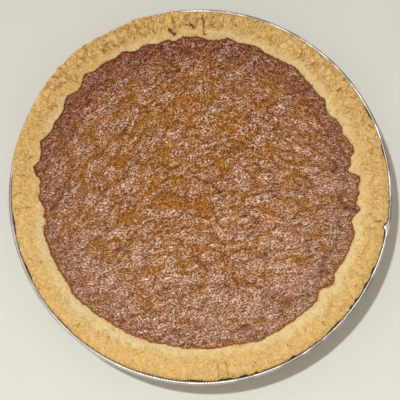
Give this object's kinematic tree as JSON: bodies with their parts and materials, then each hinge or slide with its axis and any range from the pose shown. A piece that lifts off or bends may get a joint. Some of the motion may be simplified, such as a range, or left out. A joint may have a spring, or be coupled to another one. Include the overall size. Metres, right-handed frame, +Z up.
{
  "type": "sweet potato pie in a foil tin",
  "caption": "Whole round baked pie: orange-brown wrinkled filling in a broad pressed pastry edge, in its thin fluted foil tin with a curled rim.",
  "frame": {"origin": "under the middle of the tin's flat base, on the surface that the pie stands on", "axes": "+Z up out of the pie; +X towards the side where a groove runs inside the filling's edge; the pastry hangs over the rim between +Y and -X"},
  "size_m": [0.245, 0.245, 0.0357],
  "materials": {
    "foil": "bright thin rolled foil, finely creased",
    "pastry": "dry golden baked pastry, finely wrinkled",
    "custard": "baked custard skin, satin, finely wrinkled"
  },
  "bodies": {
    "root": {"tin": "foil", "crust": "pastry", "filling": "custard"}
  },
  "joints": []
}
